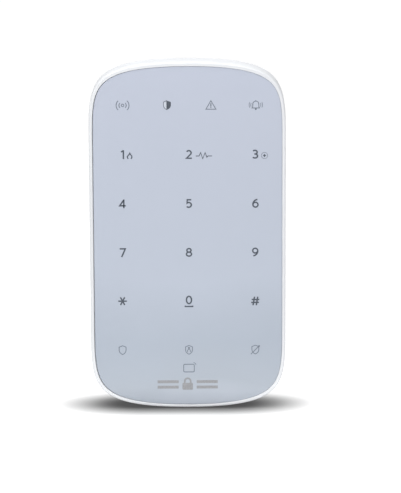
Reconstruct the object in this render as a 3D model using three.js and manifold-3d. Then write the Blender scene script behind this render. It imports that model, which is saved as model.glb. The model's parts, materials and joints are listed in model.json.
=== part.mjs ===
// Wireless alarm keypad: a glass-fronted touch panel that hangs on a screwed wall bracket.
// Millimetres. +X right and +Z up as seen from the front, which faces -Y. The wall is the plane y = 0.
import * as THREE from "three";
import { mergeVertices } from "three/addons/utils/BufferGeometryUtils.js";
import Module from "manifold-3d";

const wasm = await Module();
wasm.setup();

// ---------------------------------------------------------------- driving dimensions
const WIDTH = 85;
const HEIGHT = 151.5;
const DEPTH = 22;
const SIDE_STRAIGHT = 43; // the flank is straight up to this height, then one curve runs to the top centre
const SHOULDER_HANDLE = 23; // how far that curve carries on upwards before it turns in
const QUARTER_STEPS = 12;

const WALL = 1.8; // side walls of both shells
const BACK_WALL = 1.6;
const BRACKET_THICK = 2.3;
const PARTING_Y = -9.8;
const PARTING_GAP = 0.2;
const CLEAR = 0.05; // between stacked sheets
const SHELL_CLEAR = 0.3; // between the back wall and what stands against it
const THROUGH = 1; // how far a cutting tool runs past what it cuts
const RIM = 1.75; // visible white rim around the glass
const GLASS_GAP = 0.4;
const GLASS_THICK = 1.1;
const GLASS_PROUD = 0.12; // the rim stands this much proud of the glass
const GLASS_CHAMFER = 0.3;
const LEDGE_INSET = 3.8; // opening behind the glass
const LEDGE_THICK = 1;
const BRACKET_INSET = 4;

const FRONT_Y = -DEPTH;
const CASE_BACK_Y = -(BRACKET_THICK + SHELL_CLEAR);
const CASE_INNER_Y = CASE_BACK_Y - BACK_WALL;
const GLASS_FRONT_Y = FRONT_Y + GLASS_PROUD;
const GLASS_BACK_Y = GLASS_FRONT_Y + GLASS_THICK;
const LEDGE_Y = GLASS_BACK_Y + 0.2; // the adhesive fills this step
const LEDGE_BACK_Y = LEDGE_Y + LEDGE_THICK;
const SHELL_FRONT_Y = PARTING_Y + PARTING_GAP / 2; // front edge of the rear shell

const LIFT_TRAVEL = 7; // how far the unit lifts to clear the bracket hooks
const HOOK = { width: 8, stem: 2, lip: 5, thick: 1.5, clear: 0.3 };
const HOOK_PLACES = [
  [-27, 50],
  [27, 50],
  [-27, -46],
  [27, -46],
];
// Slots for the wall screws, and the room that a screw's head needs in front of them.
const SCREW_SLOTS = [
  { x: -16, z: 63.5, size: [4.8, 8] },
  { x: 16, z: 63.5, size: [4.8, 8] },
  { x: -16, z: -60, size: [8, 4.8] },
  { x: 16, z: -60, size: [8, 4.8] },
];
const SCREW_HEAD = { across: 7.6, tall: 2.6, wall: 1.2 };
const POST_PLACES = [
  [-36, 48],
  [36, 48],
  [-36, -48],
  [36, -48],
];
const POST_R = 3.2;
const POST_BORE = { r: 1.35, front: -13 };
const POST_RIB = { halfWidth: 1, shortOfParting: 2.2 };

const CELL = { r: 8.5, can: 33.5, nub: 1, nubR: 3, edge: 0.7, pitch: 17.6, y: -11.1, count: 4 };
const BAY = { bottom: -29, top: 12, halfWidth: 35.4, wall: 1.6 };
const CONTACT = { clear: 0.1, thick: 0.4, nubGap: 0.65 }; // sheet contacts at both ends of a cell
const HOLDER_FRONT_Y = -19.85;

const BOARD_BACK_Y = -16;
const BOARD_THICK = 1.2;
const BOARD_INSET = 4;
const MAIN_STANDOFFS = [
  [-33.5, 37],
  [33.5, 37],
];
const READER_STANDOFFS = [
  [-18, -38],
  [18, -38],
];
const TAMPER = { x: 28, z: 26, tipR: 2, collarR: 3.5, stemR: 1.4, travel: 1.8 };
const POWER = { x: -7.25, z: 20.5, travel: 2.5 };
const LOCK = { y: -5.4, lipTop: -72.1, lipBottom: -73.6, halfWidth: 6 };
const LEGEND_SHIFT = 0.8; // the printed columns sit this far right of centre
const STATUS_LIGHTS = { z: 56.7, xs: [-28.6, -9.2, 9.6, 28.8], half: [1.4, 0.9], tall: 0.8 };

// ---------------------------------------------------------------- materials
function material(color, roughness, metalness = 0) {
  return new THREE.MeshStandardMaterial({ color, roughness, metalness });
}
const WHITE_ABS = material(0xf1f3f5, 0.42);
const GLASS = material(0xc3cbd8, 0.12);
const ADHESIVE = material(0x2b2d30, 0.8);
const FILM = material(0xb9c1ce, 0.5);
const ACRYLIC = material(0xe8eef4, 0.2);
const BOARD_GREEN = material(0x1f5c3a, 0.45);
const BLACK_PLASTIC = material(0x1c1e20, 0.5);
const GREY_NYLON = material(0x8c9196, 0.5);
const STEEL = material(0xc9ccd0, 0.3, 1);
const NICKEL = material(0xb9b4a8, 0.3, 1);
const COPPER = material(0xb87040, 0.35, 1);
const CELL_WRAP = material(0x2f3540, 0.35);
const RED_WIRE = material(0xb3261e, 0.5);
const BLACK_WIRE = material(0x202226, 0.5);
const LED_WHITE = material(0xf4f2df, 0.3);

// ---------------------------------------------------------------- shape helpers
// The case outline in one quadrant, from the flank (t = 0) to the top centre (t = 1).
const quarter = new THREE.CubicBezierCurve(
  new THREE.Vector2(WIDTH / 2, SIDE_STRAIGHT),
  new THREE.Vector2(WIDTH / 2, SIDE_STRAIGHT + SHOULDER_HANDLE),
  new THREE.Vector2(WIDTH / 2, HEIGHT / 2),
  new THREE.Vector2(0, HEIGHT / 2),
);

// The outline moved inwards by inset, as points (x, z) that run counter-clockwise seen from the front.
function outline(inset = 0) {
  const first = [];
  for (let i = 0; i <= QUARTER_STEPS; i++) {
    const t = i / QUARTER_STEPS;
    const tangent = quarter.getTangent(t);
    const inward = new THREE.Vector2(-tangent.y, tangent.x);
    first.push(quarter.getPoint(t).addScaledVector(inward, inset));
  }
  const open = first.slice(0, -1);
  const mirrored = [...first].reverse().slice(0, -1).map((p) => new THREE.Vector2(-p.x, p.y));
  const upper = [...open, ...mirrored, new THREE.Vector2(-first[0].x, first[0].y)];
  const lower = upper.map((p) => new THREE.Vector2(-p.x, -p.y));
  return [...upper, ...lower];
}

// A closed skin through outlines listed from front to back as [inset, y].
function loft(sections) {
  const loops = sections.map(([inset, y]) => outline(inset).map((p) => [p.x, y, p.y]));
  const n = loops[0].length;
  const index = [];
  for (let s = 0; s < loops.length - 1; s++) {
    for (let k = 0; k < n; k++) {
      const a = s * n + k;
      const b = s * n + ((k + 1) % n);
      index.push(a, a + n, b + n, a, b + n, b);
    }
  }
  const last = (loops.length - 1) * n;
  for (const [i, j, k] of THREE.ShapeUtils.triangulateShape(outline(sections[0][0]), [])) {
    index.push(i, j, k, last + k, last + j, last + i);
  }
  const geometry = new THREE.BufferGeometry();
  geometry.setAttribute("position", new THREE.Float32BufferAttribute(loops.flat(2), 3));
  geometry.setIndex(index);
  return solid(geometry);
}

// A flat (x, z) shape with thickness from yFront to yBack.
function panel(shape, yFront, yBack, curveSegments = 6) {
  const geometry = new THREE.ExtrudeGeometry(shape, {
    depth: yBack - yFront,
    bevelEnabled: false,
    curveSegments,
  });
  geometry.rotateX(Math.PI / 2);
  geometry.translate(0, yBack, 0);
  return solid(geometry);
}

function roundedRect(width, height, radius, x = 0, z = 0) {
  const w = width / 2;
  const h = height / 2;
  const shape = new THREE.Shape();
  shape.absarc(x + w - radius, z + h - radius, radius, 0, Math.PI / 2);
  shape.absarc(x - w + radius, z + h - radius, radius, Math.PI / 2, Math.PI);
  shape.absarc(x - w + radius, z - h + radius, radius, Math.PI, 1.5 * Math.PI);
  shape.absarc(x + w - radius, z - h + radius, radius, 1.5 * Math.PI, 2 * Math.PI);
  return shape;
}

// A merged, closed three.js mesh as a manifold solid, and back.
function solid(geometry) {
  const bare = geometry.clone();
  bare.deleteAttribute("normal");
  bare.deleteAttribute("uv");
  const merged = mergeVertices(bare, 1e-4);
  return new wasm.Manifold(
    new wasm.Mesh({
      numProp: 3,
      vertProperties: new Float32Array(merged.attributes.position.array),
      triVerts: new Uint32Array(merged.index.array),
    }),
  );
}

function geometryOf(body) {
  const { vertProperties, triVerts } = body.getMesh();
  const geometry = new THREE.BufferGeometry();
  geometry.setAttribute("position", new THREE.BufferAttribute(vertProperties, 3));
  geometry.setIndex(new THREE.BufferAttribute(triVerts, 1));
  geometry.computeVertexNormals();
  return geometry;
}

// A box given by its lowest and highest corners.
function box(low, high) {
  const size = high.map((v, i) => v - low[i]);
  const geometry = new THREE.BoxGeometry(...size);
  geometry.translate(...low.map((v, i) => v + size[i] / 2));
  return solid(geometry);
}

// A cylinder along Y, or along Z when upright.
function rod(radius, from, to, [x, other], { upright = false, sides = 16 } = {}) {
  const geometry = new THREE.CylinderGeometry(radius, radius, to - from, sides);
  if (upright) geometry.rotateX(Math.PI / 2);
  const middle = (from + to) / 2;
  geometry.translate(x, upright ? other : middle, upright ? middle : other);
  return solid(geometry);
}

// A body of revolution about Y from (radius, y) points that start and end on the axis.
function turned(profile, sides = 16) {
  const points = profile.map(([r, y]) => new THREE.Vector2(r, y));
  return solid(new THREE.LatheGeometry(points, sides));
}

// Round wire of the given radius along a curve.
function wire(curve, radius, steps, sides = 4) {
  const section = new THREE.Shape();
  section.absarc(0, 0, radius, 0, 2 * Math.PI);
  return solid(
    new THREE.ExtrudeGeometry(section, { extrudePath: curve, steps, curveSegments: sides / 2 }),
  );
}

// A helix about Y from y = 0 to y = length, with its radius going from r0 to r1.
class Helix extends THREE.Curve {
  constructor(r0, r1, length, turns) {
    super();
    Object.assign(this, { r0, r1, length, turns });
  }
  getPoint(t, target = new THREE.Vector3()) {
    const angle = 2 * Math.PI * this.turns * t;
    const r = this.r0 + (this.r1 - this.r0) * t;
    return target.set(r * Math.cos(angle), this.length * t, r * Math.sin(angle));
  }
}

const join = (first, ...others) => others.reduce((sum, part) => sum.add(part), first);
const cut = (body, ...tools) => tools.reduce((left, tool) => left.subtract(tool), body);

// ---------------------------------------------------------------- the scene graph
const keypad = new THREE.Group();
const bracket = new THREE.Group();
const unit = new THREE.Group();
keypad.add(bracket, unit);

function add(group, name, body, look, position = [0, 0, 0], rotation = [0, 0, 0]) {
  const mesh = new THREE.Mesh(geometryOf(body), look);
  mesh.name = name;
  mesh.position.set(...position);
  mesh.rotation.set(...rotation);
  group.add(mesh);
  return mesh;
}

// ---------------------------------------------------------------- wall bracket
// Shallow recesses in the back keep the walls even: [width, height, x, z].
const RECESS = {
  depth: 0.9,
  radius: 2.5,
  places: [
    [24, 50, -21, 31],
    [15, 50, 11, 31],
    [24, 42, -21, -26],
    [24, 42, 21, -26],
  ],
};
const TAMPER_WINDOW = { width: 7, margin: 3.5, radius: 1.5 };
const LOCK_TAB = { rootZ: -68, front: LOCK.y - 2.8, back: -1, holeR: 1.7 };

function hook([x, z]) {
  const half = HOOK.width / 2;
  const inner = CASE_INNER_Y - HOOK.clear;
  const tip = inner - HOOK.thick;
  const low = z - HOOK.stem / 2;
  const high = z + HOOK.stem / 2;
  return join(
    box([x - half, tip, low], [x + half, -BRACKET_THICK / 2, high]),
    box([x - half, tip, low], [x + half, inner, high + HOOK.lip]),
  );
}

function screwSlot({ x, z, size }) {
  const radius = Math.min(...size) / 2 - 0.01;
  return panel(roundedRect(...size, radius, x, z), -BRACKET_THICK - THROUGH, THROUGH, 4);
}

function wallBracket() {
  const { halfWidth, lipTop, lipBottom } = LOCK;
  const plate = panel(new THREE.Shape(outline(BRACKET_INSET)), -BRACKET_THICK, 0);
  const tab = box([-halfWidth, -BRACKET_THICK, lipBottom], [halfWidth, 0, LOCK_TAB.rootZ]);
  const lip = box([-halfWidth, LOCK_TAB.front, lipBottom], [halfWidth, LOCK_TAB.back, lipTop]);
  const lockHole = rod(LOCK_TAB.holeR, lipBottom - THROUGH, lipTop + THROUGH, [0, LOCK.y], {
    upright: true,
  });
  const recesses = RECESS.places.map(([width, height, x, z]) =>
    panel(roundedRect(width, height, RECESS.radius, x, z), -RECESS.depth, THROUGH),
  );
  // The window is tall enough for the tamper tip to stay in it while the unit lifts.
  const low = TAMPER.z - TAMPER_WINDOW.margin;
  const high = TAMPER.z + TAMPER_WINDOW.margin + LIFT_TRAVEL;
  const middle = (low + high) / 2;
  const window = roundedRect(TAMPER_WINDOW.width, high - low, TAMPER_WINDOW.radius, TAMPER.x, middle);
  return cut(
    join(plate, tab, lip, ...HOOK_PLACES.map(hook)),
    ...recesses,
    panel(window, -BRACKET_THICK - THROUGH, THROUGH),
    lockHole,
    ...SCREW_SLOTS.map(screwSlot),
  );
}

const LOCK_SCREW = { faceR: 1.9, headR: 2.4, edge: 0.35, headTall: 1.4, shankR: 1.4, shankEnd: 10 };

// The lock screw with the face of its head at y = 0, before it is turned to point up.
function lockScrew() {
  const { faceR, headR, edge, headTall, shankR, shankEnd } = LOCK_SCREW;
  const blank = turned([
    [0, 0],
    [faceR, 0],
    [headR, edge],
    [headR, headTall],
    [shankR, headTall],
    [shankR, shankEnd],
    [0, shankEnd + 0.6],
  ]);
  return cut(blank, rod(headR / 2, -THROUGH, 0.8, [0, 0], { sides: 6 }));
}

add(bracket, "wall_bracket", wallBracket(), WHITE_ABS);
const lockScrewZ = LOCK.lipBottom - CLEAR - LOCK_SCREW.headTall;
add(bracket, "lock_screw", lockScrew(), STEEL, [0, LOCK.y, lockScrewZ], [Math.PI / 2, 0, 0]);

// ---------------------------------------------------------------- front shell and the glass stack
// The front shell's draft: its inset at each distance behind the front face.
const FRONT_DRAFT = [
  [1.25, 0],
  [0.8, 0.15],
  [0.5, 0.6],
  [0.35, 1.4],
  [0.1, 4],
  [0, 7],
];

function frontFrame() {
  const outer = loft([
    ...FRONT_DRAFT.map(([inset, depth]) => [inset, FRONT_Y + depth]),
    [0, PARTING_Y - PARTING_GAP / 2],
  ]);
  const postEnds = [HOLDER_FRONT_Y, CASE_INNER_Y - SHELL_CLEAR];
  const ribBack = PARTING_Y - POST_RIB.shortOfParting;
  const posts = POST_PLACES.flatMap(([x, z]) => {
    const reach = [x, Math.sign(x) * (WIDTH / 2 - WALL / 2)].sort((a, b) => a - b);
    const rib = POST_RIB.halfWidth;
    return [
      rod(POST_R, ...postEnds, [x, z]),
      box([reach[0], postEnds[0], z - rib], [reach[1], ribBack, z + rib]),
    ];
  });
  const hollow = loft([
    [WALL, LEDGE_BACK_Y],
    [WALL, PARTING_Y + THROUGH],
  ]);
  const pocket = loft([
    [RIM, FRONT_Y - THROUGH],
    [RIM, LEDGE_Y],
  ]);
  const opening = loft([
    [LEDGE_INSET, FRONT_Y],
    [LEDGE_INSET, LEDGE_BACK_Y + THROUGH / 2],
  ]);
  const bores = POST_PLACES.map((place) =>
    rod(POST_BORE.r, POST_BORE.front, postEnds[1] + THROUGH, place, { sides: 12 }),
  );
  return cut(join(cut(outer, hollow, pocket, opening), ...posts), ...bores);
}

// Film, light guide and sensor film, one behind the other in the opening of the ledge.
const STACK = { edgeClear: 0.25, film: 0.15, guide: 0.5, sensor: 0.1 };
const EDGE_LED = { z: 34, half: [0.5, 1.3], thick: 0.4, notchHalf: 1.6, notchDepth: 1.5, inset: 0.6 };

function sheet(inset, yFront, yBack, ...cutters) {
  return cut(panel(new THREE.Shape(outline(inset)), yFront, yBack), ...cutters);
}

function glassStack() {
  const glassInset = RIM + GLASS_GAP;
  const glass = loft([
    [glassInset + GLASS_CHAMFER, GLASS_FRONT_Y],
    [glassInset, GLASS_FRONT_Y + GLASS_CHAMFER],
    [glassInset, GLASS_BACK_Y],
  ]);
  add(unit, "touch_glass", glass, GLASS);
  const ring = new THREE.Shape(outline(glassInset + 0.2));
  ring.holes.push(new THREE.Path(outline(LEDGE_INSET + 0.1)));
  add(unit, "glass_adhesive", panel(ring, GLASS_BACK_Y + CLEAR, LEDGE_Y - CLEAR), ADHESIVE);

  const inset = LEDGE_INSET + STACK.edgeClear;
  const filmFront = GLASS_BACK_Y + CLEAR;
  const guideFront = filmFront + STACK.film + CLEAR;
  const sensorFront = guideFront + STACK.guide + CLEAR;
  add(unit, "legend_film", sheet(inset, filmFront, filmFront + STACK.film), FILM);

  const edge = WIDTH / 2 - inset;
  const ledPlaces = [-EDGE_LED.z, EDGE_LED.z].flatMap((z) => [
    [-edge, z],
    [edge, z],
  ]);
  const { notchDepth, notchHalf } = EDGE_LED;
  const notches = ledPlaces.map(([x, z]) =>
    box(
      [x - notchDepth, guideFront - THROUGH, z - notchHalf],
      [x + notchDepth, guideFront + THROUGH, z + notchHalf],
    ),
  );
  const guide = sheet(inset, guideFront, guideFront + STACK.guide, ...notches);
  add(unit, "light_guide", guide, ACRYLIC);
  const [halfX, halfZ] = EDGE_LED.half;
  ledPlaces.forEach(([x, z], i) => {
    const led = box([-halfX, 0, -halfZ], [halfX, EDGE_LED.thick, halfZ]);
    const place = [x - Math.sign(x) * EDGE_LED.inset, guideFront + CLEAR, z];
    add(unit, `backlight_led_${i + 1}`, led, LED_WHITE, place);
  });
  add(unit, "touch_sensor_film", sheet(inset, sensorFront, sensorFront + STACK.sensor), COPPER);
  return sensorFront + STACK.sensor;
}

add(unit, "front_frame", frontFrame(), WHITE_ABS);
const stackBackY = glassStack();

// ---------------------------------------------------------------- rear shell
// The rear shell's rounded back edge, outside and inside, as [inset, y].
const REAR_OUTER = [
  [0, SHELL_FRONT_Y],
  [0, -6.4],
  [0.35, -4.6],
  [1.2, -3.3],
  [2.8, CASE_BACK_Y],
];
const REAR_INNER = [
  [WALL, SHELL_FRONT_Y - THROUGH],
  [WALL, -6.6],
  [2.2, -5.2],
  [3.2, CASE_INNER_Y],
];
// The tongue that stands inside the front shell and locates it.
const TONGUE = { step: 0.2, thick: 1.1, reach: 1.7, root: 1.4 };
const NOTCH = { halfWidth: 6.6, front: LOCK.y - 3.1, roofZ: LOCK.lipTop + 0.4 };
const LINER = { halfWidth: 8, wall: 1.2 };
const LOCK_BOSS = { r: 2.7, boreR: 1.6, topZ: -62, boreTopZ: -63.2 };
const PILLAR = { r: 2.4, boreR: 0.95, boreBack: -9 };
const TAMPER_SLEEVE = { r: 4.7, boreR: 3.75, front: -8.4, tipHoleR: 2.3 };
const BAY_OPENING = { halfWidth: BAY.halfWidth + 0.2, margin: 0.4 };
const POWER_WINDOW = { halfWidth: 2.35, halfHeight: 1.8 };
const SCREW_HOLE = { r: 1.5, headR: 2.85, headDepth: 0.95 };
const SOUND = { r: 0.9, x: 15, zs: [38, 41.2], pitch: 3 };
const WALL_CUT = [CASE_INNER_Y - THROUGH, 0]; // y range of a tool that goes through the back wall

function hookSlot([x, z]) {
  const half = HOOK.width / 2 + 0.5;
  const top = z + HOOK.stem / 2 + 0.15;
  const bottom = z - HOOK.stem / 2 - LIFT_TRAVEL - 0.6;
  return box([x - half, WALL_CUT[0], bottom], [x + half, WALL_CUT[1], top]);
}

// The hollow that lets a wall screw's head stand proud of the bracket while the unit lifts past it.
function headPocket({ x, z, size }, grow = 0) {
  const [halfX, halfZ] = size.map((v) => (v - Math.min(...size) + SCREW_HEAD.across) / 2 + grow);
  const floor = CASE_BACK_Y - SCREW_HEAD.tall - grow;
  const back = CASE_BACK_Y + THROUGH - grow;
  return box([x - halfX, floor, z - halfZ - LIFT_TRAVEL], [x + halfX, back, z + halfZ]);
}

// A ring inside the front shell's wall, thinned where the posts pass.
function tongue() {
  const outside = WALL + TONGUE.step;
  const inside = outside + TONGUE.thick;
  return cut(
    loft([
      [outside, SHELL_FRONT_Y - TONGUE.reach],
      [outside, SHELL_FRONT_Y + 0.6],
      [WALL - 0.6, SHELL_FRONT_Y + TONGUE.root],
    ]),
    loft([
      [inside, SHELL_FRONT_Y - TONGUE.reach - THROUGH],
      [inside, SHELL_FRONT_Y + TONGUE.root + THROUGH],
    ]),
    ...POST_PLACES.map((place) => rod(POST_R + 0.4, POST_BORE.front, CASE_INNER_Y, place)),
  );
}

function rearCase() {
  const upright = { upright: true };
  const outer = loft(REAR_OUTER);
  const shell = cut(outer, loft(REAR_INNER));

  // The lock screw comes up from below into a boss, through a notch that the bracket lip fills.
  const { roofZ } = NOTCH;
  const below = -HEIGHT / 2 - THROUGH;
  const liner = box(
    [-LINER.halfWidth, SHELL_FRONT_Y, below],
    [LINER.halfWidth, CASE_BACK_Y, roofZ + LINER.wall],
  ).intersect(outer);
  const notch = box([-NOTCH.halfWidth, NOTCH.front, below], [NOTCH.halfWidth, 0, roofZ]);
  const boss = rod(LOCK_BOSS.r, roofZ, LOCK_BOSS.topZ, [0, LOCK.y], upright);
  const bossBore = rod(LOCK_BOSS.boreR, roofZ - THROUGH, LOCK_BOSS.boreTopZ, [0, LOCK.y], upright);

  const standoffs = [...MAIN_STANDOFFS, ...READER_STANDOFFS];
  const pillarFront = BOARD_BACK_Y + 2 * CLEAR;
  const pillars = standoffs.map((place) => rod(PILLAR.r, pillarFront, CASE_INNER_Y + THROUGH, place));
  const pillarBores = standoffs.map((place) =>
    rod(PILLAR.boreR, pillarFront - THROUGH, PILLAR.boreBack, place, { sides: 12 }),
  );

  const tamperAt = [TAMPER.x, TAMPER.z];
  const sleeve = rod(TAMPER_SLEEVE.r, TAMPER_SLEEVE.front, CASE_INNER_Y + THROUGH, tamperAt);
  const sleeveBore = rod(TAMPER_SLEEVE.boreR, TAMPER_SLEEVE.front - THROUGH, CASE_INNER_Y, tamperAt);
  const tipHole = rod(TAMPER_SLEEVE.tipHoleR, ...WALL_CUT, tamperAt);

  const bayOpening = box(
    [-BAY_OPENING.halfWidth, WALL_CUT[0], BAY.bottom - BAY_OPENING.margin],
    [BAY_OPENING.halfWidth, WALL_CUT[1], BAY.top + BAY_OPENING.margin],
  );
  const powerWindow = box(
    [POWER.x - POWER_WINDOW.halfWidth, WALL_CUT[0], POWER.z - POWER_WINDOW.halfHeight],
    [POWER.x + POWER_WINDOW.halfWidth + POWER.travel, WALL_CUT[1], POWER.z + POWER_WINDOW.halfHeight],
  );
  const screwHoles = POST_PLACES.flatMap((place) => [
    rod(SCREW_HOLE.r, ...WALL_CUT, place),
    rod(SCREW_HOLE.headR, CASE_BACK_Y - SCREW_HOLE.headDepth, 0, place),
  ]);
  const soundHoles = [-SOUND.pitch, 0, SOUND.pitch].flatMap((dx) =>
    SOUND.zs.map((z) => rod(SOUND.r, ...WALL_CUT, [SOUND.x + dx, z], { sides: 10 })),
  );
  const pocketWalls = SCREW_SLOTS.map((slot) => headPocket(slot, SCREW_HEAD.wall));
  return cut(
    join(cut(join(shell, tongue(), liner), notch), boss, ...pillars, sleeve, ...pocketWalls),
    ...SCREW_SLOTS.map((slot) => headPocket(slot)),
    ...HOOK_PLACES.map(hookSlot),
    sleeveBore,
    tipHole,
    bossBore,
    bayOpening,
    powerWindow,
    ...pillarBores,
    ...screwHoles,
    ...soundHoles,
  );
}

// A pan-head screw whose head stands on y = 0, with a hexagonal recess.
function panScrew({ headR, headTall, shankR, length }) {
  const body = turned(
    [
      [0, -length],
      [shankR * 0.5, -length],
      [shankR, -length + shankR],
      [shankR, 0],
      [headR, 0],
      [headR, headTall * 0.6],
      [headR * 0.8, headTall],
      [0, headTall],
    ],
    12,
  );
  return cut(body, rod(headR * 0.5, headTall * 0.4, headTall + THROUGH, [0, 0], { sides: 6 }));
}

const CASE_SCREW = { headR: 2.6, headTall: 0.8, shankR: 1.2, length: 8 };
const BOARD_SCREW = { headR: 2, headTall: 1, shankR: 0.8, length: 5 };

add(unit, "rear_case", rearCase(), WHITE_ABS);
POST_PLACES.forEach(([x, z], i) => {
  const seat = CASE_BACK_Y - SCREW_HOLE.headDepth + CLEAR;
  add(unit, `case_screw_${i + 1}`, panScrew(CASE_SCREW), STEEL, [x, seat, z]);
});

// ---------------------------------------------------------------- batteries and their holder
const cellX = (i) => (i - (CELL.count - 1) / 2) * CELL.pitch;
const bayMiddle = (BAY.bottom + BAY.top) / 2;
const bayHalf = (BAY.top - BAY.bottom) / 2;
const CONTACT_HALF = { plate: 5.5, spring: 5.8 };
const BATTERY_COIL = { wide: 5.2, narrow: 3, turns: 3, wireR: 0.35, steps: 30 };

function batteryHolder() {
  const { bottom, top, halfWidth, wall } = BAY;
  const block = box(
    [-halfWidth - wall, HOLDER_FRONT_Y, bottom - wall],
    [halfWidth + wall, CASE_INNER_Y - SHELL_CLEAR, top + wall],
  );
  const channels = Array.from({ length: CELL.count }, (_, i) =>
    rod(CELL.r + 2 * CLEAR, bottom, top, [cellX(i), CELL.y], { upright: true, sides: 24 }),
  );
  const open = box([-halfWidth, CELL.y, bottom], [halfWidth, 0, top]);
  return cut(block, open, ...channels);
}

// Local frame of one cell: its axis is Y with the positive nub at +Y, and the bay's middle is y = 0.
const nubEnd = bayHalf - CONTACT.nubGap;
const canEnd = nubEnd - CELL.nub;
const canStart = canEnd - CELL.can;

function cell() {
  const { r, edge, nubR } = CELL;
  return turned(
    [
      [0, canStart],
      [r - edge, canStart],
      [r, canStart + edge],
      [r, canEnd - edge],
      [r - edge, canEnd],
      [nubR, canEnd],
      [nubR, nubEnd],
      [0, nubEnd],
    ],
    24,
  );
}

function positivePlate() {
  const half = CONTACT_HALF.plate;
  const back = bayHalf - CONTACT.clear;
  return box([-half, back - CONTACT.thick, -half], [half, back, half]);
}

function batterySpring() {
  const half = CONTACT_HALF.spring;
  const back = -bayHalf + CONTACT.clear;
  const front = back + CONTACT.thick;
  const { wide, narrow, turns, wireR, steps } = BATTERY_COIL;
  const length = canStart - front - wireR;
  const coil = wire(new Helix(wide, narrow, length, turns), wireR, steps);
  return join(box([-half, back, -half], [half, front, half]), coil.translate([0, front - 0.1, 0]));
}

add(unit, "battery_holder", batteryHolder(), BLACK_PLASTIC);
for (let i = 0; i < CELL.count; i++) {
  // Neighbouring cells lie head to tail.
  const turn = i % 2 ? -Math.PI / 2 : Math.PI / 2;
  const place = [cellX(i), CELL.y, bayMiddle];
  add(unit, `battery_${i + 1}`, cell(), CELL_WRAP, place, [turn, 0, 0]);
  add(unit, `battery_plate_${i + 1}`, positivePlate(), NICKEL, place, [turn, 0, 0]);
  add(unit, `battery_spring_${i + 1}`, batterySpring(), NICKEL, place, [turn, 0, 0]);
}

// ---------------------------------------------------------------- circuit boards
const BOARD_FRONT_Y = BOARD_BACK_Y - BOARD_THICK;
const onBack = BOARD_BACK_Y + CLEAR;
const onFront = BOARD_FRONT_Y - CLEAR;

// Where each board starts and ends, between the case's top and bottom curves.
const MAIN_BOARD = { low: 15.6, high: HEIGHT / 2 };
const READER_BOARD = { low: -HEIGHT / 2, high: -32.4 };
// Size as [across, depth, height] and place as [x, z] of the plain packages on the boards' backs.
const CHIPS = {
  radio_module: { size: [15, 2.6, 18], place: [-14, 40], look: STEEL },
  microcontroller: { size: [9, 1.3, 9], place: [2, 32], look: BLACK_PLASTIC },
  reader_chip: { size: [6, 1, 6], place: [0, -42], look: BLACK_PLASTIC },
  battery_connector: { size: [6.4, 2.6, 3.4], place: [12.6, 20.4], look: WHITE_ABS },
};
const BUZZER = { r: 7, tall: 6, edge: 0.4, holeR: 1.2, holeDepth: 1.6, place: [15, 39.6] };
const AERIAL = { r: 2.2, length: 20, turns: 6, wireR: 0.35, steps: 54, place: [10, -13.3, 63] };
const TRACK = { turns: 4, pitch: 1.7, width: 0.9, thick: 0.1, half: [27, 12], z: -53.5 };
const TAMPER_SWITCH = { half: 3.2, tall: 3.9, buttonR: 1.2, buttonTop: 4.8 };

// The part of the case outline between two heights, with holes for the posts and the standoff screws.
function board({ low, high }, standoffs) {
  const strip = box([-WIDTH, BOARD_FRONT_Y - THROUGH, low], [WIDTH, BOARD_BACK_Y + THROUGH, high]);
  const ends = [BOARD_FRONT_Y - THROUGH, BOARD_BACK_Y + THROUGH];
  return cut(
    sheet(BOARD_INSET, BOARD_FRONT_Y, BOARD_BACK_Y).intersect(strip),
    ...POST_PLACES.map((place) => rod(POST_R + 0.6, ...ends, place)),
    ...standoffs.map((place) => rod(BOARD_SCREW.shankR + 0.2, ...ends, place, { sides: 12 })),
  );
}

function boardScrews(prefix, places) {
  places.forEach(([x, z], i) => {
    const name = `${prefix}_screw_${i + 1}`;
    add(unit, name, panScrew(BOARD_SCREW), STEEL, [x, onFront, z], [Math.PI, 0, 0]);
  });
}

function chip(name) {
  const { size, place, look } = CHIPS[name];
  const [across, depth, height] = size;
  const body = box([-across / 2, 0, -height / 2], [across / 2, depth, height / 2]);
  add(unit, name, body, look, [place[0], onBack, place[1]]);
}

function buzzer() {
  const { r, tall, edge, holeR, holeDepth } = BUZZER;
  return turned([
    [0, 0],
    [r, 0],
    [r, tall - edge],
    [r - edge, tall],
    [holeR, tall],
    [holeR, tall - holeDepth],
    [0, tall - holeDepth],
  ]);
}

// A flat square spiral of copper track, drawn as one ribbon that winds inwards.
function antennaTrack() {
  const { turns, pitch, width, thick, half, z: centre } = TRACK;
  const corner = (k, offset) => {
    const ring = Math.floor(k / 4);
    const step = (k % 4 === 3 ? ring + 1 : ring) * pitch;
    const w = half[0] - ring * pitch - offset;
    const h = half[1] - ring * pitch - offset;
    const left = k % 4 === 3 ? half[0] - step - offset : w;
    const corners = [
      [-w, h],
      [w, h],
      [w, -h],
      [-left, -h],
    ];
    return corners[k % 4];
  };
  const outside = [];
  const inside = [];
  for (let k = 0; k < 4 * turns; k++) {
    outside.push(corner(k, 0));
    inside.push(corner(k, width));
  }
  const points = [...outside, ...inside.reverse()].map(([x, z]) => new THREE.Vector2(x, z + centre));
  return panel(new THREE.Shape(points), onFront - thick, onFront);
}

function tamperSwitch() {
  const { half, tall, buttonR, buttonTop } = TAMPER_SWITCH;
  const button = turned(
    [
      [0, tall - THROUGH],
      [buttonR, tall - THROUGH],
      [buttonR, buttonTop],
      [0, buttonTop],
    ],
    12,
  );
  return join(box([-half, 0, -half], [half, tall, half]), button);
}

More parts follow.
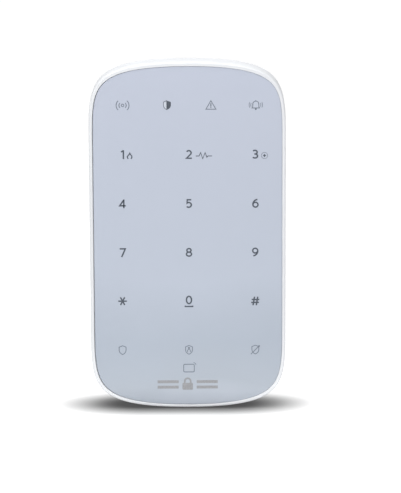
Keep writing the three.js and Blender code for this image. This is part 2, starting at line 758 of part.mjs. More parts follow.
function mainBoard() {
  add(unit, "main_board", board(MAIN_BOARD, MAIN_STANDOFFS), BOARD_GREEN);
  boardScrews("main_board", MAIN_STANDOFFS);
  chip("radio_module");
  chip("microcontroller");
  add(unit, "buzzer", buzzer(), BLACK_PLASTIC, [BUZZER.place[0], onBack, BUZZER.place[1]]);
  const coil = new Helix(AERIAL.r, AERIAL.r, AERIAL.length, AERIAL.turns);
  const aerial = wire(coil, AERIAL.wireR, AERIAL.steps);
  add(unit, "radio_antenna", aerial, COPPER, AERIAL.place, [0, 0, Math.PI / 2]);
  add(unit, "tamper_switch", tamperSwitch(), BLACK_PLASTIC, [TAMPER.x, onBack, TAMPER.z]);
  const [halfX, halfZ] = STATUS_LIGHTS.half;
  STATUS_LIGHTS.xs.forEach((x, i) => {
    const led = box([-halfX, -STATUS_LIGHTS.tall, -halfZ], [halfX, 0, halfZ]);
    const place = [x + LEGEND_SHIFT, onFront, STATUS_LIGHTS.z];
    add(unit, `status_led_${i + 1}`, led, LED_WHITE, place);
  });
}

function readerBoard() {
  add(unit, "reader_board", board(READER_BOARD, READER_STANDOFFS), BOARD_GREEN);
  boardScrews("reader_board", READER_STANDOFFS);
  add(unit, "reader_antenna_coil", antennaTrack(), COPPER);
  chip("reader_chip");
}

mainBoard();
readerBoard();

// ---------------------------------------------------------------- flexes and leads inside the case
const RIBBON = { x: -36.3, outerX: -38.9, topZ: 19.4, bottomZ: -34.6, thick: 0.3, width: 4.4 };
const RIBBON_BACK_Y = -10.4;
const SOCKET = { across: 4, half: 1.6, lap: 0.4 };
const TAIL = { width: 12, thick: 0.12, topZ: 31, bottomZ: 23.2, off: 0.15, standOff: 0.9 };
const SENSOR_CONNECTOR = { half: [7, 1.5], depth: 1.6, z: 21.6 };
const LEAD = { r: 0.6, steps: 12, red: { x: 10, bend: 1.2 }, black: { x: 16, bend: -2 } };

// A strip of the given thickness that follows (a, b) points and has the stated width across them.
function strip(points, thick, width) {
  const left = [];
  const right = [];
  points.forEach((p, i) => {
    const before = points[Math.max(i - 1, 0)];
    const after = points[Math.min(i + 1, points.length - 1)];
    const along = new THREE.Vector2(after[0] - before[0], after[1] - before[1]).normalize();
    left.push(new THREE.Vector2(p[0] - (along.y * thick) / 2, p[1] + (along.x * thick) / 2));
    right.push(new THREE.Vector2(p[0] + (along.y * thick) / 2, p[1] - (along.x * thick) / 2));
  });
  const shape = new THREE.Shape([...left, ...right.reverse()]);
  return solid(new THREE.ExtrudeGeometry(shape, { depth: width, bevelEnabled: false }));
}

// The ribbon runs past the battery holder, from one board's socket to the other's.
function readerRibbon() {
  const { x, outerX, topZ, bottomZ, thick, width } = RIBBON;
  const corner = 1;
  const points = [
    [x, topZ],
    [outerX + corner, topZ],
    [outerX, topZ - corner],
    [outerX, bottomZ + corner],
    [outerX + corner, bottomZ],
    [x + 0.6, bottomZ],
  ];
  return strip(points, thick, width).rotate([90, 0, 0]).translate([0, RIBBON_BACK_Y, 0]);
}

function ribbonSocket() {
  return box([0, onBack, -SOCKET.half], [SOCKET.across, RIBBON_BACK_Y + SOCKET.lap, SOCKET.half]);
}

// The sensor film's tail, drawn in (y, z) and turned so that its width runs along X.
function sensorTail() {
  const { width, thick, topZ, bottomZ, off, standOff } = TAIL;
  const start = stackBackY + off;
  const points = [
    [start, topZ],
    [start + 0.1, topZ - 3.6],
    [onFront - standOff, bottomZ + 2],
    [onFront - standOff, bottomZ],
  ];
  return strip(points, thick, width).rotate([90, 0, 90]).translate([-width / 2, 0, 0]);
}

// A lead from the battery holder's top edge to the connector: [x shift, y, height over the holder].
function batteryLead({ x, bend }) {
  const holderTop = BAY.top + BAY.wall;
  const route = [
    [0, -8.2, 0.2],
    [0, -7.6, 3],
    [bend, -8.4, 5.5],
    [bend, -11.2, 6.8],
    [bend, -13.1, 6.9],
  ];
  const points = route.map(([dx, y, up]) => new THREE.Vector3(x + dx, y, holderTop + up));
  return wire(new THREE.CatmullRomCurve3(points), LEAD.r, LEAD.steps);
}

add(unit, "reader_ribbon", readerRibbon(), GREY_NYLON);
add(unit, "ribbon_socket_upper", ribbonSocket(), WHITE_ABS, [RIBBON.x + 0.2, 0, RIBBON.topZ]);
add(unit, "ribbon_socket_lower", ribbonSocket(), WHITE_ABS, [RIBBON.x + 0.8, 0, RIBBON.bottomZ]);
const [connectorX, connectorZ] = SENSOR_CONNECTOR.half;
const connector = box([-connectorX, -SENSOR_CONNECTOR.depth, -connectorZ], [connectorX, 0, connectorZ]);
add(unit, "sensor_connector", connector, WHITE_ABS, [0, onFront, SENSOR_CONNECTOR.z]);
add(unit, "sensor_tail", sensorTail(), COPPER);
add(unit, "battery_lead_red", batteryLead(LEAD.red), RED_WIRE);
add(unit, "battery_lead_black", batteryLead(LEAD.black), BLACK_WIRE);
chip("battery_connector");

// ---------------------------------------------------------------- rear tamper pin and its spring
const PIN = { frontY: -11.05, backY: -0.3, edge: 0.5, collarThick: 1.2, slack: 0.15 };
const PIN_SPRING = { r: 2.6, length: 3.6, turns: 4, wireR: 0.25, steps: 36, standOff: 4.2 };

const tamperPin = new THREE.Group();
unit.add(tamperPin);

function tamperPlunger() {
  const { tipR, collarR, stemR } = TAMPER;
  const collarBack = CASE_INNER_Y - TAMPER.travel - PIN.slack;
  const collarFront = collarBack - PIN.collarThick;
  return turned([
    [0, PIN.frontY],
    [stemR, PIN.frontY],
    [stemR, collarFront],
    [collarR, collarFront],
    [collarR, collarBack],
    [tipR, collarBack],
    [tipR, PIN.backY - PIN.edge],
    [tipR - PIN.edge, PIN.backY],
    [0, PIN.backY],
  ]);
}

function tamperSpring() {
  const { r, length, turns, wireR, steps } = PIN_SPRING;
  return wire(new Helix(r, r, length, turns), wireR, steps);
}

add(tamperPin, "tamper_plunger", tamperPlunger(), GREY_NYLON, [TAMPER.x, 0, TAMPER.z]);
add(unit, "tamper_spring", tamperSpring(), STEEL, [TAMPER.x, onBack + PIN_SPRING.standOff, TAMPER.z]);

// ---------------------------------------------------------------- power switch under the bracket
const SWITCH = { half: [4.6, 2.2], backY: -12.2, grooveHalf: [2.4, 1], grooveFront: -13.6 };
const LEVER = { half: 0.75, front: -13.3, back: -11.1 };
const SLIDER = {
  stemFront: -12,
  stemBack: -5,
  stemHalf: [1.7, 1.6],
  buttonHalf: [2, 1.5],
  flangeHalf: [5, 2.9],
  flangeThick: 0.8,
  forkHalf: 0.95,
  forkBack: -10.9,
  gripPitch: 1.2,
  gripHalf: 0.25,
  gripFront: -3.2,
};

const powerSlide = new THREE.Group();
unit.add(powerSlide);

function powerSwitchBody() {
  const middle = POWER.x + POWER.travel / 2;
  const [halfX, halfZ] = SWITCH.half;
  const [grooveX, grooveZ] = SWITCH.grooveHalf;
  const body = box(
    [middle - halfX, onBack, POWER.z - halfZ],
    [middle + halfX, SWITCH.backY, POWER.z + halfZ],
  );
  const groove = box(
    [middle - grooveX, SWITCH.grooveFront, POWER.z - grooveZ],
    [middle + grooveX, SWITCH.backY + THROUGH, POWER.z + grooveZ],
  );
  return cut(body, groove);
}

// A box centred on the slider's own axis, from [half width, half height] and its two y ends.
function centred([halfX, halfZ], front, back) {
  return box([-halfX, front, -halfZ], [halfX, back, halfZ]);
}

function powerSlider() {
  const s = SLIDER;
  const flangeBack = CASE_INNER_Y - SHELL_CLEAR;
  const button = centred(s.buttonHalf, s.stemBack, CASE_BACK_Y - 0.2);
  const flange = centred(s.flangeHalf, flangeBack - s.flangeThick, flangeBack);
  const stem = centred(s.stemHalf, s.stemFront, s.stemBack);
  const fork = centred([s.forkHalf, s.forkHalf], s.stemFront - THROUGH, s.forkBack);
  const grips = [-s.gripPitch, 0, s.gripPitch].map((x) =>
    centred([s.gripHalf, s.stemHalf[1] + THROUGH], s.gripFront, 0).translate([x, 0, 0]),
  );
  return cut(join(button, flange, stem), fork, ...grips);
}

const powerAt = [POWER.x, 0, POWER.z];
const lever = centred([LEVER.half, LEVER.half], LEVER.front, LEVER.back);
add(unit, "power_switch", powerSwitchBody(), STEEL);
add(powerSlide, "power_switch_lever", lever, BLACK_PLASTIC, powerAt);
add(powerSlide, "power_switch_slider", powerSlider(), GREY_NYLON, powerAt);

export default keypad;
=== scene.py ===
"""Wireless alarm keypad: finished surfaces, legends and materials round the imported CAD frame.

Metres. +X is right and +Z up as seen from the front, the glass faces -Y, and the wall is the plane y = 0.
"""
import json
import math

import bmesh
import bpy
from mathutils import Matrix, Quaternion, Vector


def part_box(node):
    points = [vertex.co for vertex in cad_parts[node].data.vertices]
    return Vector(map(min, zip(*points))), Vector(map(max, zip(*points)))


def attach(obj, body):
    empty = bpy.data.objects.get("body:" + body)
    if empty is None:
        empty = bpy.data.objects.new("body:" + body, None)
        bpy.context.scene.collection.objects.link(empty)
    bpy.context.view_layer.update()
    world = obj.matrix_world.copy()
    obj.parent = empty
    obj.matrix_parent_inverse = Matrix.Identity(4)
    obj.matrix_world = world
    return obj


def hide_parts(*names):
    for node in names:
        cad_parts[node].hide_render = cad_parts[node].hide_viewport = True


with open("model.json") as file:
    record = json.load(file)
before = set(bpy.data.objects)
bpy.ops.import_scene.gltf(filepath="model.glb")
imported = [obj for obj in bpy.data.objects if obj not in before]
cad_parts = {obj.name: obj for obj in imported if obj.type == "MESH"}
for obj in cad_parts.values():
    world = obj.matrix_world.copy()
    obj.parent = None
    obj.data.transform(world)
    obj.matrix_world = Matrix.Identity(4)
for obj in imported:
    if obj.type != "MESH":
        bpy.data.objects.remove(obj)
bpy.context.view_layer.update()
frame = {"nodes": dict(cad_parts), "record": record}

MM = 0.001

# ------------------------------------------------------------ sizes, from the frame
frame_low, frame_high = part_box("front_frame")
glass_low, glass_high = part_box("touch_glass")

HALF_WIDTH = frame_high.x
HALF_HEIGHT = frame_high.z
SIDE_STRAIGHT = 43 * MM  # the flank is straight up to this height
SHOULDER_HANDLE = 23 * MM  # how far the curve above it carries on upwards before it turns in
FRONT_Y = frame_low.y
GLASS_FRONT_Y = glass_low.y
GLASS_BACK_Y = glass_high.y
LEDGE_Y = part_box("glass_adhesive")[1].y + 0.05 * MM
LEDGE_THICK = 1.0 * MM
LEDGE_INSET = 3.8 * MM
PARTING_Y = -9.8 * MM  # middle of the gap between the two shells
PARTING_HALF_GAP = 0.1 * MM
CASE_BACK_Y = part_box("rear_case")[1].y
CASE_INNER_Y = CASE_BACK_Y - 1.6 * MM
WALL = 1.8 * MM
RIM = 1.75 * MM
OPENING_SCALE = 0.9983  # the glass opening is a little shorter than the rim alone would make it
OPENING_DROP = 0.17 * MM
OPENING_LOWER = 0.35 * MM
PAST = 1 * MM  # how far a cutting tool runs past what it cuts

CASE_SCREWS = [f"case_screw_{n}" for n in range(1, 5)]
BOARD_SCREWS = [f"{board}_board_screw_{n}" for board in ("main", "reader") for n in (1, 2)]
POST_R = 3.2 * MM
LIFT = 7 * MM  # travel of the unit on its bracket
HOOK_PLACES = [(x * MM, z * MM) for z in (50, -46) for x in (-27, 27)]
HOOK_HALF_WIDTH = 4 * MM
SCREW_SLOTS = [(x * MM, z * MM, w * MM, h * MM) for z, w, h in ((63.5, 4.8, 8), (-60, 8, 4.8))
               for x in (-16, 16)]
SLOT_WIDTH = 4.8 * MM
SCREW_HEAD = 7.6 * MM  # room across for the head of a wall screw
BRACKET_FRONT_Y = -2.3 * MM
BRACKET_INSET = HALF_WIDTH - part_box("wall_bracket")[1].x
LIP_TOP, LIP_BOTTOM = -72.1 * MM, -73.6 * MM
LIP_HALF_WIDTH = 6 * MM
LOCK_Y = -5.4 * MM
POWER_X, POWER_Z = -7.25 * MM, 20.5 * MM
POWER_TRAVEL = 2.5 * MM
PIN_X, PIN_Z = 28 * MM, 26 * MM


# ------------------------------------------------------------ camera
def make_camera():
    elevation = math.radians(9.9)
    distance = 1.1276
    aim = Vector((5.5 * MM, FRONT_Y, -4.25 * MM))
    back = Vector((0, -math.cos(elevation), math.sin(elevation)))
    data = bpy.data.cameras.new("camera")
    data.sensor_width = 36
    data.lens = 191
    data.clip_start = 0.05
    data.clip_end = 50
    camera = bpy.data.objects.new("camera", data)
    camera.location = aim + back * distance
    camera.rotation_mode = "QUATERNION"
    roll = Quaternion((0, 0, 1), math.radians(-0.25))
    camera.rotation_quaternion = (-back).to_track_quat("-Z", "Y") @ roll
    bpy.context.collection.objects.link(camera)
    bpy.context.scene.camera = camera


make_camera()


# ------------------------------------------------------------ node material helpers
class Look:
    """A Principled material whose base colour, roughness and bump come from procedural nodes."""

    def __init__(self, name, roughness=0.5, metallic=0.0, specular=0.5, coat=0.0):
        self.material = bpy.data.materials.new(name)
        self.material.use_nodes = True
        self.tree = self.material.node_tree
        self.shader = self.tree.nodes["Principled BSDF"]
        self.shader.inputs["Roughness"].default_value = roughness
        self.shader.inputs["Metallic"].default_value = metallic
        self.shader.inputs["Specular IOR Level"].default_value = specular
        self.shader.inputs["Coat Weight"].default_value = coat
        self.shader.inputs["IOR"].default_value = 1.5
        self.place = self.tree.nodes.new("ShaderNodeTexCoord").outputs["Object"]

    def node(self, kind, inputs=(), **settings):
        made = self.tree.nodes.new(kind)
        for key, value in settings.items():
            setattr(made, key, value)
        for key, value in dict(inputs).items():
            socket = made.inputs[key]
            if isinstance(value, bpy.types.NodeSocket):
                self.tree.links.new(value, socket)
            else:
                socket.default_value = value
        return made

    def noise(self, scale, detail=3.0, stretch=(1, 1, 1)):
        place = self.node("ShaderNodeMapping", {"Vector": self.place, "Scale": stretch}).outputs[0]
        made = self.node("ShaderNodeTexNoise", {"Vector": place, "Scale": scale, "Detail": detail})
        return made.outputs["Fac"]

    def ramp(self, factor, stops):
        made = self.node("ShaderNodeValToRGB", {"Fac": factor})
        elements = made.color_ramp.elements
        while len(elements) < len(stops):
            elements.new(0.5)
        for element, (position, color) in zip(elements, stops):
            element.position = position
            element.color = (*color, 1)
        return made.outputs["Color"]

    def span(self, factor, low, high, source=(0.3, 0.7)):
        inputs = {0: factor, 1: source[0], 2: source[1], 3: low, 4: high}
        return self.node("ShaderNodeMapRange", inputs).outputs[0]

    def color(self, socket):
        self.tree.links.new(socket, self.shader.inputs["Base Color"])

    def roughness(self, socket):
        self.tree.links.new(socket, self.shader.inputs["Roughness"])

    def bump(self, height, distance, strength=1.0):
        inputs = {"Height": height, "Distance": distance, "Strength": strength}
        made = self.node("ShaderNodeBump", inputs)
        self.tree.links.new(made.outputs[0], self.shader.inputs["Normal"])


def srgb(red, green, blue):
    """Linear colour from 0 to 255 display values."""

    def linear(value):
        v = value / 255
        return v / 12.92 if v <= 0.04045 else ((v + 0.055) / 1.055) ** 2.4

    return linear(red), linear(green), linear(blue)


def shaded(color, factor):
    return tuple(min(1.0, c * factor) for c in color)


def tinted(color, tint):
    return tuple(c * t for c, t in zip(color, tint))


def mottled(name, color, spread=0.05, scale=60, grain=0.0, grain_scale=2500, **settings):
    """A moulded or plated surface: slow colour drift, matching roughness drift and a fine grain."""
    look = Look(name, **settings)
    drift = look.noise(scale)
    low, high = shaded(color, 1 - spread), shaded(color, 1 + spread)
    look.color(look.ramp(drift, [(0.3, low), (0.7, high)]))
    base = settings.get("roughness", 0.5)
    look.roughness(look.span(look.noise(scale * 4), base * 0.88, min(1, base * 1.12)))
    if grain:
        look.bump(look.noise(grain_scale, 2), grain)
    return look.material


def white_plastic():
    look = Look("white_abs", roughness=0.38)
    drift = look.noise(22, 4)
    look.color(look.ramp(drift, [(0.25, srgb(216, 218, 221)), (0.75, srgb(221, 223, 226))]))
    look.roughness(look.span(look.noise(160, 5), 0.33, 0.45))
    look.bump(look.noise(3200, 2), 0.012 * MM, 0.6)
    return look.material


def back_painted_glass():
    look = Look("touch_glass", roughness=0.16, specular=0.35)
    # The painted shade follows the height on the glass, with a small random drift.
    height = look.node("ShaderNodeSeparateXYZ", {"Vector": look.place}).outputs["Z"]
    level = look.span(height, 0.0, 1.0, (-75 * MM, 75 * MM))
    drift = look.span(look.noise(14, 5, stretch=(1, 1, 0.6)), -0.06, 0.06)
    place = look.node("ShaderNodeMath", {0: level, 1: drift}, operation="ADD").outputs[0]
    paint = srgb(185, 190, 202)
    # Painted shade from the foot of the glass to its top: how the paint's red, green and blue are
    # darkened, most just above the foot, a little less at the very foot, and least at the top, as under
    # light from above.
    painted_shade_tints = (
        (0.0, (0.87, 0.89, 0.88)),
        (0.07, (0.77, 0.80, 0.79)),
        (0.2, (0.80, 0.84, 0.85)),
        (0.4, (0.937, 0.965, 0.98)),
        (1.0, (0.967, 0.975, 1.0)),
    )
    stops = [(position, tinted(paint, tint)) for position, tint in painted_shade_tints]
    look.color(look.ramp(place, stops))
    smudges = look.noise(48, 6, stretch=(1, 1, 0.45))
    look.roughness(look.span(smudges, 0.13, 0.24))
    look.bump(look.noise(9, 2), 0.02 * MM, 0.3)
    return look.material


def ink(name, color):
    look = Look(name, roughness=0.45)
    speckle = look.noise(1800, 3)
    look.color(look.ramp(speckle, [(0.3, shaded(color, 0.93)), (0.7, shaded(color, 1.07))]))
    look.roughness(look.span(look.noise(500), 0.4, 0.52))
    return look.material


def circuit_board():
    """Solder mask over copper: a grid of narrow raised traces and scattered round pads."""
    look = Look("circuit_board", roughness=0.35)
    cells = {"Vector": look.place, "Scale": 260.0, "Mortar Size": 0.03, "Brick Width": 0.9}
    brick = look.node("ShaderNodeTexBrick", cells)
    pads = look.node("ShaderNodeTexVoronoi", {"Vector": look.place, "Scale": 420.0})
    mask = look.span(pads.outputs["Distance"], 1, 0, (0.12, 0.16))
    green = look.ramp(brick.outputs["Fac"], [(0.0, srgb(28, 92, 56)), (1.0, srgb(52, 128, 78))])
    mix = look.node("ShaderNodeMix", data_type="RGBA")
    look.tree.links.new(mask, mix.inputs["Factor"])
    look.tree.links.new(green, mix.inputs["A"])
    mix.inputs["B"].default_value = (*srgb(206, 190, 150), 1)
    look.color(mix.outputs["Result"])
    look.bump(brick.outputs["Fac"], 0.03 * MM)
    return look.material


def brushed(name, color, roughness, stretch=(1, 1, 18)):
    look = Look(name, roughness=roughness, metallic=1.0)
    grain = look.noise(900, 4, stretch)
    look.color(look.ramp(grain, [(0.3, shaded(color, 0.85)), (0.7, shaded(color, 1.08))]))
    look.roughness(look.span(grain, roughness * 0.8, roughness * 1.3))
    look.bump(grain, 0.006 * MM)
    return look.material


def cell_sleeve():
    """Dark shrink sleeve with a faint orange-peel surface."""
    look = Look("cell_wrap", roughness=0.3, coat=0.3)
    look.color(look.ramp(look.noise(300), [(0.3, srgb(38, 50, 66)), (0.7, srgb(48, 61, 79))]))
    look.bump(look.noise(260, 4), 0.03 * MM)
    return look.material


def acrylic():
    look = Look("acrylic", roughness=0.12)
    look.shader.inputs["Transmission Weight"].default_value = 0.85
    look.color(look.ramp(look.noise(40), [(0.3, (0.90, 0.93, 0.96)), (0.7, (0.95, 0.97, 0.99))]))
    look.bump(look.noise(1400, 2), 0.01 * MM)
    return look.material


LOOKS = {
    "white_abs": white_plastic(),
    "touch_glass": back_painted_glass(),
    "adhesive": mottled("adhesive", srgb(40, 42, 46), 0.15, 300, 0.02 * MM, roughness=0.85),
    "printed_film": mottled("printed_film", srgb(188, 196, 208), 0.03, 40, roughness=0.5),
    "acrylic": acrylic(),
    "sensor_film": mottled("sensor_film", srgb(196, 200, 198), 0.04, 90, roughness=0.3),
    "circuit_board": circuit_board(),
    "black_plastic": mottled("black_plastic", srgb(34, 35, 38), 0.12, 120, 0.01 * MM, roughness=0.5),
    "grey_nylon": mottled("grey_nylon", srgb(150, 154, 158), 0.05, 90, 0.012 * MM, roughness=0.48),
    "steel": brushed("steel", (0.63, 0.64, 0.66), 0.28),
    "nickel": brushed("nickel", (0.66, 0.63, 0.57), 0.25, (6, 6, 1)),
    "copper": brushed("copper", (0.80, 0.44, 0.27), 0.3, (4, 4, 4)),
    "cell_wrap": cell_sleeve(),
    "flex_film": mottled("flex_film", srgb(198, 138, 62), 0.08, 150, 0.004 * MM, roughness=0.3),
    "red_wire": mottled("red_wire", srgb(182, 34, 28), 0.08, 200, 0.01 * MM, roughness=0.45),
    "black_wire": mottled("black_wire", srgb(28, 29, 31), 0.1, 200, 0.01 * MM, roughness=0.45),
    "white_nylon": mottled("white_nylon", srgb(232, 231, 226), 0.04, 120, 0.01 * MM, roughness=0.45),
    "led": mottled("led", srgb(238, 232, 198), 0.05, 600, roughness=0.25),
}
INK_DARK = ink("legend_ink_dark", srgb(72, 79, 90))
INK_LIGHT = ink("legend_ink_light", srgb(105, 113, 125))
INK_PALE = ink("legend_ink_pale", srgb(190, 196, 206))
INK_GREY = ink("legend_ink_grey", srgb(143, 144, 147))


# ------------------------------------------------------------ mesh helpers
def outline(inset=0.0, lower=0.0, steps=26, flank_steps=6):
    """The case outline moved inwards by inset: (x, z) points, counter-clockwise from the front.

    lower is a further inset round the middle of the two lower corners.
    """
    p0 = Vector((HALF_WIDTH, SIDE_STRAIGHT))
    p1 = Vector((HALF_WIDTH, SIDE_STRAIGHT + SHOULDER_HANDLE))
    p2 = Vector((HALF_WIDTH, HALF_HEIGHT))
    p3 = Vector((0, HALF_HEIGHT))

    def half(extra):
        quarter = []
        for i in range(steps + 1):
            t = i / steps
            u = 1 - t
            point = p0 * u**3 + p1 * 3 * u * u * t + p2 * 3 * u * t * t + p3 * t**3
            tangent = (p1 - p0) * u * u + (p2 - p1) * 2 * u * t + (p3 - p2) * t * t
            tangent.normalize()
            move = inset + extra * math.sin(math.pi * t) ** 2
            quarter.append(point + Vector((-tangent.y, tangent.x)) * move)
        upper = quarter[:-1] + [Vector((-p.x, p.y)) for p in reversed(quarter)]
        foot = upper[-1]
        flank = [Vector((foot.x, foot.y * (1 - 2 * k / flank_steps))) for k in range(1, flank_steps)]
        return upper + flank

    return half(0.0) + [Vector((-p.x, -p.y)) for p in half(lower)]


def place_of(name):
    """Middle of a CAD node, as (x, z)."""
    low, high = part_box(name)
    return (low.x + high.x) / 2, (low.z + high.z) / 2


def mesh_object(name, mesh, body, look):
    made = bpy.data.objects.new(name, mesh)
    bpy.context.collection.objects.link(made)
    mesh.materials.clear()
    mesh.materials.append(look)
    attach(made, body)
    return made


def smooth_by_angle(mesh, degrees=32):
    """Smooth faces with a crisp edge wherever two faces meet at more than the angle."""
    bm = bmesh.new()
    bm.from_mesh(mesh)
    bmesh.ops.recalc_face_normals(bm, faces=bm.faces)
    limit = math.radians(degrees)
    for face in bm.faces:
        face.smooth = True
    for edge in bm.edges:
        edge.smooth = len(edge.link_faces) == 2 and edge.calc_face_angle(0) < limit
    bm.to_mesh(mesh)
    bm.free()
    return mesh


def from_rings(name, rings, closed=False):
    """A skin through equal rings of 3-D points: capped at both ends, or joined last to first."""
    bm = bmesh.new()
    rows = [[bm.verts.new(p) for p in ring] for ring in rings]
    pairs = list(zip(rows, rows[1:])) + ([(rows[-1], rows[0])] if closed else [])
    for a, b in pairs:
        for k in range(len(a)):
            j = (k + 1) % len(a)
            bm.faces.new((a[k], b[k], b[j], a[j]))
    if not closed:
        bm.faces.new(rows[0])
        bm.faces.new(list(reversed(rows[-1])))
    bmesh.ops.recalc_face_normals(bm, faces=bm.faces)
    mesh = bpy.data.meshes.new(name)
    bm.to_mesh(mesh)
    bm.free()
    return mesh


def outline_skin(name, sections, closed=False, steps=26):
    """A skin through case outlines listed as (inset, y), or (inset, y, height scale, drop, lower)."""
    rings = []
    for inset, y, *fit in sections:
        scale, drop, lower = fit or (1.0, 0.0, 0.0)
        rings.append([Vector((p.x, y, p.y * scale - drop)) for p in outline(inset, lower, steps)])
    return from_rings(name, rings, closed)


def arc(center, radii, start, stop, steps=6):
    """Points of an elliptical arc in (inset, y), with angles in degrees."""
    points = []
    for i in range(steps + 1):
        a = math.radians(start + (stop - start) * i / steps)
        points.append((center[0] + radii[0] * math.cos(a), center[1] + radii[1] * math.sin(a)))
    return points


def block(low, high):
    """A box from corner to corner, as a closed skin."""
    corners = [[Vector((x, y, z)) for x, y in ((low[0], low[1]), (high[0], low[1]),
                                               (high[0], high[1]), (low[0], high[1]))]
               for z in (low[2], high[2])]
    return from_rings("block", corners)


def rounded(width, height, radius, x=0.0, z=0.0, steps=6):
    """(x, z) points of a rounded rectangle."""
    points = []
    for sx, sz, start in ((1, 1, 0), (-1, 1, 90), (-1, -1, 180), (1, -1, 270)):
        cx = x + sx * (width / 2 - radius)
        cz = z + sz * (height / 2 - radius)
        for i in range(steps + 1):
            a = math.radians(start + 90 * i / steps)
            points.append(Vector((cx + radius * math.cos(a), cz + radius * math.sin(a))))
    return points


def prism(points, y_front, y_back, chamfer=0.0):
    """A flat (x, z) outline with depth; with a chamfer it widens over that distance at y_back."""
    rings = [(0.0, y_front), (0.0, y_back - chamfer)]
    if chamfer:
        rings.append((chamfer, y_back))
    middle = sum(points, Vector((0, 0))) / len(points)
    made = []
    for grow, y in rings:
        ring = []
        for p in points:
            away = (p - middle).normalized() * grow
            ring.append(Vector((p.x + away.x, y, p.y + away.y)))
        made.append(ring)
    return from_rings("prism", made)


def turned(profile, centre, axis="Y", sides=32):
    """A body of revolution from (radius, height) points, on axis Y or Z through centre."""
    rings = []
    for radius, height in profile:
        ring = []
        for i in range(sides):
            a = 2 * math.pi * i / sides
            c, s = radius * math.cos(a), radius * math.sin(a)
            ring.append(Vector((c, height, s) if axis == "Y" else (c, s, height)))
        rings.append([p + Vector(centre) for p in ring])
    return from_rings("turned", rings)


def rod(radius, low, high, x, other, axis="Y", sides=32):
    """A cylinder from low to high along its axis; other is z on axis Y, and y on axis Z."""
    centre = (x, 0, other) if axis == "Y" else (x, other, 0)
    return turned([(radius, low), (radius, high)], centre, axis, sides)


def joined(meshes):
    """Several closed meshes as one, untouched."""
    bm = bmesh.new()
    for mesh in meshes:
        bm.from_mesh(mesh)
    made = bpy.data.meshes.new("joined")
    bm.to_mesh(made)
    bm.free()
    return made


def boolean(mesh, tools, operation):
    """mesh with every tool mesh cut from it or joined to it."""
    base = bpy.data.objects.new("boolean_base", mesh)
    bpy.context.collection.objects.link(base)
    helpers = []
    for tool in tools:
        helper = bpy.data.objects.new("boolean_tool", tool)
        bpy.context.collection.objects.link(helper)
        modifier = base.modifiers.new("boolean", "BOOLEAN")
        modifier.operation = operation
        modifier.solver = "EXACT"
        modifier.object = helper
        helpers.append(helper)
    graph = bpy.context.evaluated_depsgraph_get()
    made = bpy.data.meshes.new_from_object(base.evaluated_get(graph))
    for helper in [base, *helpers]:
        bpy.data.objects.remove(helper)
    return made


def cut(mesh, *tools):
    return boolean(mesh, tools, "DIFFERENCE")


def merged(mesh, *tools):
    return boolean(mesh, tools, "UNION")


# ------------------------------------------------------------ front frame and glass
def front_frame():
    back = PARTING_Y - PARTING_HALF_GAP
    lip = 0.12 * MM  # radius of the rim's inner edge
    draft = 0.35 * MM  # how far the side wall leans in towards the front
    nose, nose_depth = 0.65 * MM, 1.1 * MM  # the rim's rounded outer edge
    flank_rows = 7
    profile = [(0.22 * MM, back), (0.0, PARTING_Y - 0.35 * MM)]
    for k in range(flank_rows):
        depth = flank_rows - k
        lean = draft * (1 - depth / flank_rows) ** 2
        profile.append((lean, FRONT_Y + depth * MM + 0.4 * MM))
    profile += arc((draft + nose, FRONT_Y + nose_depth), (nose, nose_depth), 190, 270, 8)
    mouth = arc((RIM - lip, FRONT_Y + lip), (lip, lip), 270, 360, 3) + [(RIM, LEDGE_Y)]
    profile += [(inset, y, OPENING_SCALE, OPENING_DROP, OPENING_LOWER) for inset, y in mouth]
    profile += [
        (LEDGE_INSET, LEDGE_Y),
        (LEDGE_INSET, LEDGE_Y + LEDGE_THICK),
        (WALL, LEDGE_Y + LEDGE_THICK),
        (WALL, back),
    ]
    shell = outline_skin("front_frame", profile, closed=True)

    post_front = LEDGE_Y + 0.75 * MM  # sunk a little into the ledge
    bore_r, bore_depth = 1.35 * MM, 8.5 * MM
    rib_half, rib_reach = 1 * MM, 2.9 * MM
    posts = []
    for name in CASE_SCREWS:
        x, z = place_of(name)
        post = cut(
            rod(POST_R, post_front, frame_high.y, x, z),
            rod(bore_r, frame_high.y - bore_depth, frame_high.y + PAST, x, z),
        )
        wall_x = math.copysign(HALF_WIDTH - WALL / 2, x)
        near, far = sorted((x + math.copysign(rib_reach, x), wall_x))
        rib = block((near, post_front, z - rib_half), (far, PARTING_Y - 2.2 * MM, z + rib_half))
        posts += [post, rib]
    shell = merged(shell, *posts)
    made = mesh_object("front_frame_shell", smooth_by_angle(shell), "keypad_unit",
                       LOOKS["white_abs"])
    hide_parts("front_frame")


def touch_glass():
    """The glass, bedded a touch off centre to the right, so that the gap is widest on the left."""
    edge, back_edge = 0.3 * MM, 0.05 * MM
    inset = RIM + 0.19 * MM
    off_centre = 0.155 * MM
    sections = [(inset + edge, GLASS_FRONT_Y)]
    sections += arc((inset + edge, GLASS_FRONT_Y + edge), (edge, edge), 270, 180, 4)[1:]
    sections += [(inset, GLASS_BACK_Y - back_edge), (inset + back_edge, GLASS_BACK_Y)]
    fit = (1.0, OPENING_DROP, OPENING_LOWER)
    mesh = outline_skin("touch_glass", [(*section, *fit) for section in sections])
    mesh.transform(Matrix.Translation((off_centre, 0, 0)))
    made = mesh_object("glass_front", smooth_by_angle(mesh), "keypad_unit",
                       LOOKS["touch_glass"])
    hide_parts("touch_glass")


front_frame()
touch_glass()

# ------------------------------------------------------------ rear case
NOTCH_ROOF = LIP_TOP + 0.4 * MM  # the lock notch, which the bracket's lip fills
BELOW = -HALF_HEIGHT - PAST


def flared(points, y_front, y_back, flare):
    """A cutting tool through a back face at y_back that leaves a small chamfer round its mouth."""
    over = 0.2 * MM
    return prism(points, y_front, y_back + over, flare + over)


